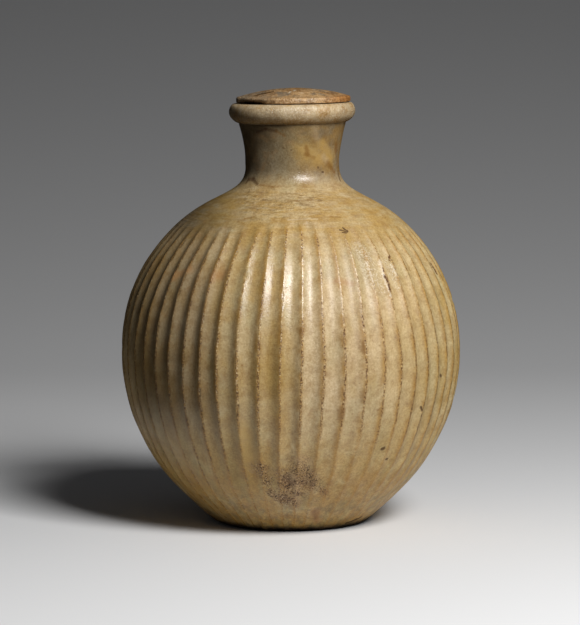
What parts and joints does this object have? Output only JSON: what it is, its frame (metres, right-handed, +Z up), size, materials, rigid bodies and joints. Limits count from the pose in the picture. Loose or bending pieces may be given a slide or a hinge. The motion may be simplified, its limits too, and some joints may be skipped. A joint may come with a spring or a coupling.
{
  "type": "lidded fluted stone bottle",
  "caption": "Hollow round stone bottle with upright concave flutes, a waisted neck, a rolled rim and a loose domed lid.",
  "frame": {"origin": "middle of the bottle's flat underside, on the surface it stands on", "axes": "+Z up along the bottle's axis, -Y the front, +X the right-hand side seen from the front"},
  "size_m": [0.1344, 0.1344, 0.1718],
  "materials": {
    "bottle_stone": null,
    "lid_stone": null
  },
  "bodies": {
    "root": {"bottle": "bottle_stone", "lid": "lid_stone"}
  },
  "joints": []
}
